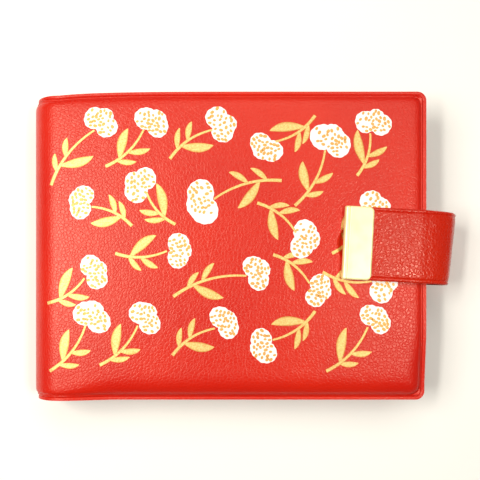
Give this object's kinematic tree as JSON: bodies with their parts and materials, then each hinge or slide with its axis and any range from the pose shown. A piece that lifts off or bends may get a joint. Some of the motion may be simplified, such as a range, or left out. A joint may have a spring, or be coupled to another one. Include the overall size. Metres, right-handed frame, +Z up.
{
  "type": "stamp album",
  "caption": "Small landscape stamp album: padded vinyl covers with a round spine, stock-card leaves with clear strips, and a press-stud strap round the fore edge.",
  "frame": {"origin": "middle of the underside of the closed album, on the surface it lies on", "axes": "+X to the fore edge where the strap is, the spine on the -X side; +Y to the head; +Z up through the front cover"},
  "size_m": [0.1651, 0.118, 0.0269],
  "materials": {
    "red_vinyl": "fine-grained glossy vinyl",
    "vinyl_lining": "fine-grained matt vinyl",
    "strap_vinyl": "fine-grained glossy vinyl",
    "foam": "open foam",
    "greyboard": "plain grey board",
    "black_card": "smooth black card",
    "clear_film": "clear polypropylene film",
    "glassine": "translucent smooth paper",
    "book_linen": "fine woven linen",
    "kraft_paper": "kraft paper",
    "brass": "polished, lacquered",
    "steel_wire": "bright wire"
  },
  "bodies": {
    "root": {"back_skin": "red_vinyl", "back_foam": "foam", "back_board": "greyboard", "back_lining": "vinyl_lining", "back_end_leaf": "black_card", "strap_tail": "strap_vinyl"},
    "spine_low": {"spine_low_skin": "red_vinyl", "spine_low_foam": "foam", "spine_low_lining": "vinyl_lining"},
    "spine_mid": {"spine_mid_skin": "red_vinyl", "spine_mid_foam": "foam", "spine_mid_lining": "vinyl_lining", "spine_hollow": "kraft_paper", "stub_stack": "black_card", "stub_tape": "book_linen", "stub_staples": "steel_wire"},
    "spine_high": {"spine_high_skin": "red_vinyl", "spine_high_foam": "foam", "spine_high_lining": "vinyl_lining"},
    "front_cover": {"front_skin": "red_vinyl", "front_foam": "foam", "front_board": "greyboard", "front_lining": "vinyl_lining", "front_end_leaf": "black_card", "snap_stud": "brass", "snap_washer": "steel_wire"},
    "leaf_1": {"leaf_1_card": "black_card", "leaf_1_strips": "clear_film", "leaf_1_linen": "book_linen", "leaf_1_glassine": "glassine"},
    "leaf_2": {"leaf_2_card": "black_card", "leaf_2_strips": "clear_film", "leaf_2_linen": "book_linen", "leaf_2_glassine": "glassine"},
    "leaf_3": {"leaf_3_card": "black_card", "leaf_3_strips": "clear_film", "leaf_3_linen": "book_linen", "leaf_3_glassine": "glassine"},
    "leaf_4": {"leaf_4_card": "black_card", "leaf_4_strips": "clear_film", "leaf_4_linen": "book_linen", "leaf_4_glassine": "glassine"},
    "leaf_5": {"leaf_5_card": "black_card", "leaf_5_strips": "clear_film", "leaf_5_linen": "book_linen", "leaf_5_glassine": "glassine"},
    "leaf_6": {"leaf_6_card": "black_card", "leaf_6_strips": "clear_film", "leaf_6_linen": "book_linen", "leaf_6_glassine": "glassine"},
    "strap_low": {"strap_low_outer": "strap_vinyl", "strap_low_inner": "strap_vinyl"},
    "strap_high": {"strap_high_outer": "strap_vinyl", "strap_high_inner": "strap_vinyl"},
    "strap_tongue": {"strap_tongue_outer": "strap_vinyl", "strap_tongue_inner": "strap_vinyl", "strap_clip": "brass", "snap_socket": "brass", "snap_spring": "steel_wire"}
  },
  "joints": [
    {"name": "cover_opening", "type": "hinge", "parent": "root", "child": "spine_low", "pos_m": [-0.06897, 0, 0], "axis": [0, -1, 0], "range_deg": [0, 45]},
    {"name": "spine_bend_2", "type": "hinge", "parent": "spine_low", "child": "spine_mid", "pos_m": [-0.076, 0, 0.00703], "axis": [0, -1, 0], "range_deg": [0, 45]},
    {"name": "spine_bend_3", "type": "hinge", "parent": "spine_mid", "child": "spine_high", "pos_m": [-0.076, 0, 0.01697], "axis": [0, -1, 0], "range_deg": [0, 45]},
    {"name": "spine_bend_4", "type": "hinge", "parent": "spine_high", "child": "front_cover", "pos_m": [-0.06897, 0, 0.024], "axis": [0, -1, 0], "range_deg": [0, 45]},
    {"name": "leaf_1_turn", "type": "hinge", "parent": "spine_mid", "child": "leaf_1", "pos_m": [-0.06225, 0, 0.00675], "axis": [0, -1, 0], "range_deg": [-93.15, 0]},
    {"name": "leaf_2_turn", "type": "hinge", "parent": "spine_mid", "child": "leaf_2", "pos_m": [-0.062, 0, 0.00885], "axis": [0, -1, 0], "range_deg": [-87.75, 0]},
    {"name": "leaf_3_turn", "type": "hinge", "parent": "spine_mid", "child": "leaf_3", "pos_m": [-0.062, 0, 0.01095], "axis": [0, -1, 0], "range_deg": [0, 79.2]},
    {"name": "leaf_4_turn", "type": "hinge", "parent": "spine_mid", "child": "leaf_4", "pos_m": [-0.062, 0, 0.01305], "axis": [0, -1, 0], "range_deg": [0, 81.45]},
    {"name": "leaf_5_turn", "type": "hinge", "parent": "spine_mid", "child": "leaf_5", "pos_m": [-0.062, 0, 0.01515], "axis": [0, -1, 0], "range_deg": [0, 84.15]},
    {"name": "leaf_6_turn", "type": "hinge", "parent": "spine_mid", "child": "leaf_6", "pos_m": [-0.06225, 0, 0.01725], "axis": [0, -1, 0], "range_deg": [0, 93.15]},
    {"name": "strap_opening", "type": "hinge", "parent": "root", "child": "strap_low", "pos_m": [0.08336, -0.00089, 0.0026], "axis": [0.0523, 0.9986, 0], "range_deg": [0, 60]},
    {"name": "strap_bend_2", "type": "hinge", "parent": "strap_low", "child": "strap_high", "pos_m": [0.09022, -0.00125, 0.0145], "axis": [0.0523, 0.9986, 0], "range_deg": [0, 60]},
    {"name": "strap_bend_3", "type": "hinge", "parent": "strap_high", "child": "strap_tongue", "pos_m": [0.08336, -0.00089, 0.0264], "axis": [0.0523, 0.9986, 0], "range_deg": [0, 60]}
  ],
  "couplings": [
    {"joint": "spine_bend_2", "follows": "cover_opening", "ratio": 1},
    {"joint": "spine_bend_3", "follows": "cover_opening", "ratio": 1},
    {"joint": "spine_bend_4", "follows": "cover_opening", "ratio": 1},
    {"joint": "leaf_1_turn", "follows": "cover_opening", "ratio": -2.07},
    {"joint": "leaf_2_turn", "follows": "cover_opening", "ratio": -1.95},
    {"joint": "leaf_3_turn", "follows": "cover_opening", "ratio": 1.76},
    {"joint": "leaf_4_turn", "follows": "cover_opening", "ratio": 1.81},
    {"joint": "leaf_5_turn", "follows": "cover_opening", "ratio": 1.87},
    {"joint": "leaf_6_turn", "follows": "cover_opening", "ratio": 2.07},
    {"joint": "strap_bend_2", "follows": "strap_opening", "ratio": 1},
    {"joint": "strap_bend_3", "follows": "strap_opening", "ratio": 1}
  ]
}
